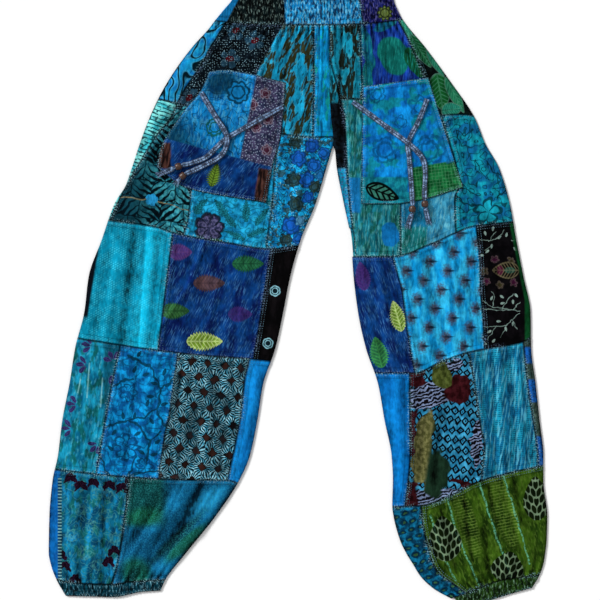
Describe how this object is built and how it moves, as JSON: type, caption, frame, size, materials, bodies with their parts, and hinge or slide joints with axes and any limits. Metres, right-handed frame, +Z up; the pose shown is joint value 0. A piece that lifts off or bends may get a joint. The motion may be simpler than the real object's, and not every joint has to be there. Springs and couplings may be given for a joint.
{
  "type": "harem pants",
  "caption": "Patchwork cotton harem pants lying flat, with a smocked elastic waistband, patch pockets with beaded ties, full legs and gathered ankle cuffs.",
  "frame": {"origin": "centre of the garment's box on the surface it lies on, under its flat back", "axes": "+X across the garment to the wearer's left leg, +Y from the cuffs to the waistband, +Z up off the surface through the back and then the front"},
  "size_m": [0.7706, 0.986, 0.0219],
  "materials": {
    "left_back_calf": "washed printed cotton, matt",
    "left_back_hip": "washed printed cotton, matt",
    "left_back_knee": "washed printed cotton, matt",
    "left_back_shin": "washed printed cotton, matt",
    "left_bead_inner": "dark polished wood",
    "left_bead_outer": "dark polished wood",
    "left_calf_blue": "washed printed cotton, matt",
    "left_calf_hatched": "washed printed cotton, matt",
    "left_calf_teal": "washed printed cotton, matt",
    "left_calf_vine": "washed printed cotton, matt",
    "left_cuff_back": "washed printed cotton, matt",
    "left_cuff_front": "washed printed cotton, matt",
    "left_hip_camo": "washed printed cotton, matt",
    "left_hip_centre": "washed printed cotton, matt",
    "left_hip_dotted": "washed printed cotton, matt",
    "left_hip_scroll": "washed printed cotton, matt",
    "left_knee_black": "washed printed cotton, matt",
    "left_knee_navy": "washed printed cotton, matt",
    "left_knee_turquoise": "washed printed cotton, matt",
    "left_pocket": "washed printed cotton, matt",
    "left_shin_green": "washed printed cotton, matt",
    "left_shin_tulip": "washed printed cotton, matt",
    "left_thigh_blooms": "washed printed cotton, matt",
    "left_thigh_fern": "washed printed cotton, matt",
    "left_thigh_leafy": "washed printed cotton, matt",
    "left_thigh_striped": "washed printed cotton, matt",
    "left_tie_inner": "washed printed cotton, matt",
    "left_tie_outer": "washed printed cotton, matt",
    "right_back_calf": "washed printed cotton, matt",
    "right_back_hip": "washed printed cotton, matt",
    "right_back_knee": "washed printed cotton, matt",
    "right_back_shin": "washed printed cotton, matt",
    "right_bead_inner": "dark polished wood",
    "right_bead_outer": "dark polished wood",
    "right_calf_grid": "washed printed cotton, matt",
    "right_calf_net": "washed printed cotton, matt",
    "right_calf_plain": "washed printed cotton, matt",
    "right_calf_side": "washed printed cotton, matt",
    "right_cuff_back": "washed printed cotton, matt",
    "right_cuff_front": "washed printed cotton, matt",
    "right_gusset_black": "washed printed cotton, matt",
    "right_gusset_blue": "washed printed cotton, matt",
    "right_hip_camo": "washed printed cotton, matt",
    "right_hip_leaves": "washed printed cotton, matt",
    "right_hip_navy": "washed printed cotton, matt",
    "right_knee_black": "washed printed cotton, matt",
    "right_knee_navy": "washed printed cotton, matt",
    "right_knee_spotted": "washed printed cotton, matt",
    "right_pocket": "washed printed cotton, matt",
    "right_shin_olive": "washed printed cotton, matt",
    "right_shin_spots": "washed printed cotton, matt",
    "right_thigh_green": "washed printed cotton, matt",
    "right_thigh_outline": "washed printed cotton, matt",
    "right_thigh_wash": "washed printed cotton, matt",
    "right_tie_inner": "washed printed cotton, matt",
    "right_tie_outer": "washed printed cotton, matt",
    "waistband_back": "washed printed cotton, matt",
    "waistband_dark": "washed printed cotton, matt",
    "waistband_light": "washed printed cotton, matt",
    "waistband_navy": "washed printed cotton, matt"
  },
  "bodies": {
    "root": {"left_back_calf": "left_back_calf", "left_back_hip": "left_back_hip", "left_back_knee": "left_back_knee", "left_back_shin": "left_back_shin", "left_bead_inner": "left_bead_inner", "left_bead_outer": "left_bead_outer", "left_calf_blue": "left_calf_blue", "left_calf_hatched": "left_calf_hatched", "left_calf_teal": "left_calf_teal", "left_calf_vine": "left_calf_vine", "left_cuff_back": "left_cuff_back", "left_cuff_front": "left_cuff_front", "left_hip_camo": "left_hip_camo", "left_hip_centre": "left_hip_centre", "left_hip_dotted": "left_hip_dotted", "left_hip_scroll": "left_hip_scroll", "left_knee_black": "left_knee_black", "left_knee_navy": "left_knee_navy", "left_knee_turquoise": "left_knee_turquoise", "left_pocket": "left_pocket", "left_shin_green": "left_shin_green", "left_shin_tulip": "left_shin_tulip", "left_thigh_blooms": "left_thigh_blooms", "left_thigh_fern": "left_thigh_fern", "left_thigh_leafy": "left_thigh_leafy", "left_thigh_striped": "left_thigh_striped", "left_tie_inner": "left_tie_inner", "left_tie_outer": "left_tie_outer", "right_back_calf": "right_back_calf", "right_back_hip": "right_back_hip", "right_back_knee": "right_back_knee", "right_back_shin": "right_back_shin", "right_bead_inner": "right_bead_inner", "right_bead_outer": "right_bead_outer", "right_calf_grid": "right_calf_grid", "right_calf_net": "right_calf_net", "right_calf_plain": "right_calf_plain", "right_calf_side": "right_calf_side", "right_cuff_back": "right_cuff_back", "right_cuff_front": "right_cuff_front", "right_gusset_black": "right_gusset_black", "right_gusset_blue": "right_gusset_blue", "right_hip_camo": "right_hip_camo", "right_hip_leaves": "right_hip_leaves", "right_hip_navy": "right_hip_navy", "right_knee_black": "right_knee_black", "right_knee_navy": "right_knee_navy", "right_knee_spotted": "right_knee_spotted", "right_pocket": "right_pocket", "right_shin_olive": "right_shin_olive", "right_shin_spots": "right_shin_spots", "right_thigh_green": "right_thigh_green", "right_thigh_outline": "right_thigh_outline", "right_thigh_wash": "right_thigh_wash", "right_tie_inner": "right_tie_inner", "right_tie_outer": "right_tie_outer", "waistband_back": "waistband_back", "waistband_dark": "waistband_dark", "waistband_light": "waistband_light", "waistband_navy": "waistband_navy"}
  },
  "joints": []
}
